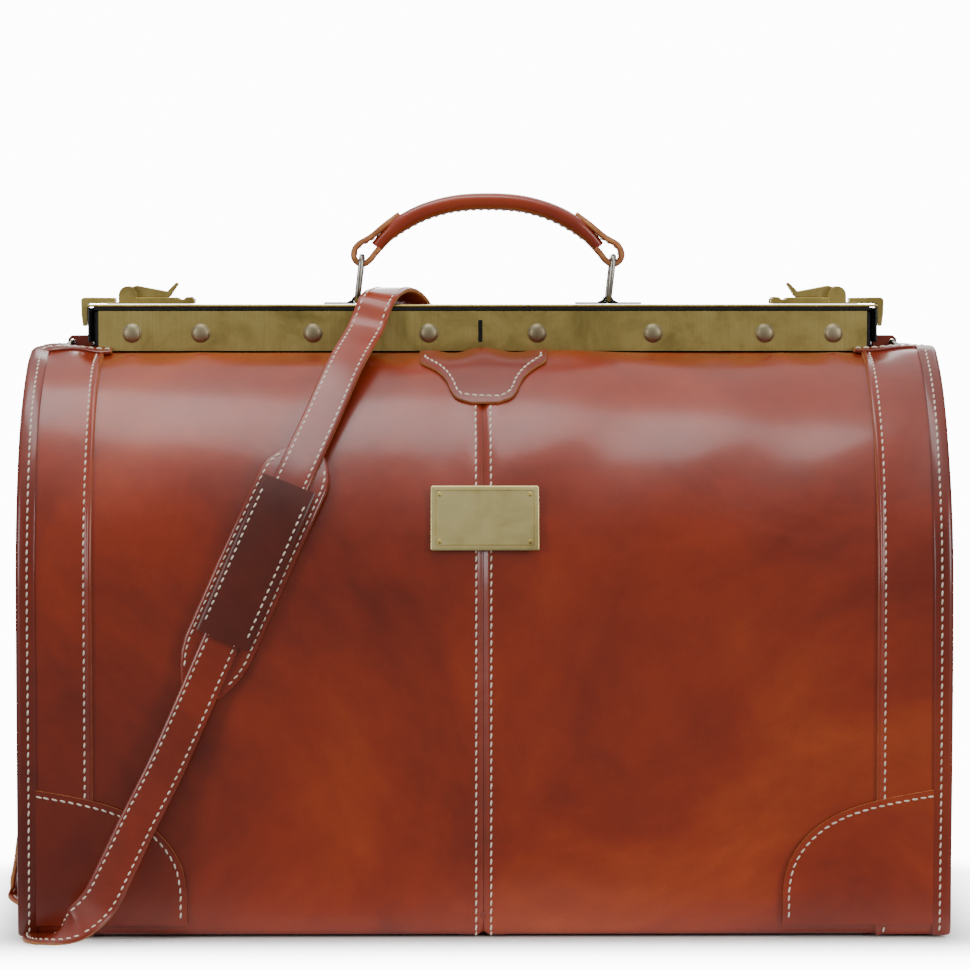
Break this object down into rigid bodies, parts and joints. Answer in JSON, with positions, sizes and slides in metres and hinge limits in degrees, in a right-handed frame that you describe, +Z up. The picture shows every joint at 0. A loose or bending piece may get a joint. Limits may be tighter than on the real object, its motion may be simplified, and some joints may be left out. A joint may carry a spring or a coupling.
{
  "type": "doctor bag",
  "caption": "Frame-mouth leather doctor bag with two hinged jaws, end latches, lock, swaying arched handle and a draped shoulder strap with a pad.",
  "frame": {"origin": "underside of the middle foot, on the surface that the bag stands on", "axes": "+X along the frame towards the right-hand end seen from the front, -Y out of the front with the name plate, +Z up"},
  "size_m": [0.5304, 0.299, 0.3998],
  "materials": {
    "leather": "glossy vegetable-tanned",
    "leather_dark": "glossy vegetable-tanned, darker",
    "lining": "woven cotton",
    "board": "pressed fibre board",
    "brass": "brushed antique",
    "brass_dark": "dark antique",
    "steel_black": "black gloss",
    "steel": "plain",
    "wire": "antique nickel"
  },
  "bodies": {
    "bag_body": {"lower_front_left": "leather", "lower_front_right": "leather", "lower_rear": "leather", "base_panel": "leather", "base_board": "board", "lining": "lining", "end_panel_left": "leather", "end_panel_right": "leather", "binding_left": "leather", "binding_right": "leather", "corner_patch_front_left": "leather_dark", "corner_patch_front_right": "leather_dark", "corner_patch_rear_left": "leather_dark", "corner_patch_rear_right": "leather_dark", "name_plate": "brass", "hinge_pin_left": "steel", "hinge_pin_right": "steel", "shoulder_strap": "leather", "strap_pad": "leather_dark", "pad_sleeve": "leather_dark", "base_foot_1": "brass_dark", "base_foot_2": "brass_dark", "base_foot_3": "brass_dark", "base_foot_4": "brass_dark", "base_foot_5": "brass_dark"},
    "front_jaw": {"front_rail": "steel_black", "front_strip": "brass", "lock_case": "steel_black", "upper_front": "leather", "centre_patch": "leather_dark", "front_rivet_1": "brass_dark", "front_rivet_2": "brass_dark", "front_rivet_3": "brass_dark", "front_rivet_4": "brass_dark", "front_rivet_5": "brass_dark", "front_rivet_6": "brass_dark", "front_rivet_7": "brass_dark", "front_rivet_8": "brass_dark"},
    "lock_slide": {"lock_bolt": "steel"},
    "rear_jaw": {"rear_rail": "steel_black", "rear_strip": "brass", "top_cap": "brass", "upper_rear": "leather", "latch_base_left": "brass", "latch_base_right": "brass", "handle_plate_left": "wire", "handle_plate_right": "wire", "strap_tab_left": "leather_dark", "strap_tab_right": "leather_dark", "strap_ring_left": "wire", "strap_ring_right": "wire"},
    "lever_left": {"latch_lever_left": "brass"},
    "lever_right": {"latch_lever_right": "brass"},
    "hook_left": {"latch_hook_left": "brass"},
    "hook_right": {"latch_hook_right": "brass"},
    "ring_left": {"handle_ring_left": "wire"},
    "ring_right": {"handle_ring_right": "wire"},
    "grip": {"handle_grip": "leather_dark"}
  },
  "joints": [
    {"name": "front_jaw_hinge", "type": "hinge", "parent": "bag_body", "child": "front_jaw", "pos_m": [0, 0, 0.245], "axis": [1, 0, 0], "range_deg": [0, 60], "deforming": ["upper_front", "centre_patch", "shoulder_strap", "strap_pad", "pad_sleeve"]},
    {"name": "rear_jaw_hinge", "type": "hinge", "parent": "bag_body", "child": "rear_jaw", "pos_m": [0, 0, 0.245], "axis": [1, 0, 0], "range_deg": [-60, 0], "deforming": ["upper_rear", "shoulder_strap", "strap_pad", "pad_sleeve"]},
    {"name": "lock_bolt_slide", "type": "slide", "parent": "front_jaw", "child": "lock_slide", "axis": [1, 0, 0], "range_m": [0, 0.004]},
    {"name": "latch_left", "type": "hinge", "parent": "rear_jaw", "child": "lever_left", "pos_m": [-0.1975, 0, 0.3428], "axis": [0, -1, 0], "range_deg": [0, 75]},
    {"name": "latch_right", "type": "hinge", "parent": "rear_jaw", "child": "lever_right", "pos_m": [0.1975, 0, 0.3428], "axis": [0, 1, 0], "range_deg": [0, 75]},
    {"name": "hook_left_slide", "type": "slide", "parent": "rear_jaw", "child": "hook_left", "axis": [-1, 0, 0], "range_m": [0, 0.0057]},
    {"name": "hook_right_slide", "type": "slide", "parent": "rear_jaw", "child": "hook_right", "axis": [1, 0, 0], "range_m": [0, 0.0057]},
    {"name": "handle_sway", "type": "hinge", "parent": "rear_jaw", "child": "ring_left", "pos_m": [-0.07, 0, 0.3394], "axis": [0, 1, 0], "range_deg": [-60, 25]},
    {"name": "right_ring_sway", "type": "hinge", "parent": "rear_jaw", "child": "ring_right", "pos_m": [0.07, 0, 0.3394], "axis": [0, 1, 0], "range_deg": [-60, 25]},
    {"name": "grip_pivot", "type": "hinge", "parent": "ring_left", "child": "grip", "pos_m": [-0.06717, 0, 0.36424], "axis": [0, 1, 0], "range_deg": [-25, 60]}
  ],
  "couplings": [
    {"joint": "hook_left_slide", "follows": "latch_left", "m_per_rad": 0.0043},
    {"joint": "hook_right_slide", "follows": "latch_right", "m_per_rad": 0.0043},
    {"joint": "right_ring_sway", "follows": "handle_sway", "ratio": 1},
    {"joint": "grip_pivot", "follows": "handle_sway", "ratio": -1}
  ]
}
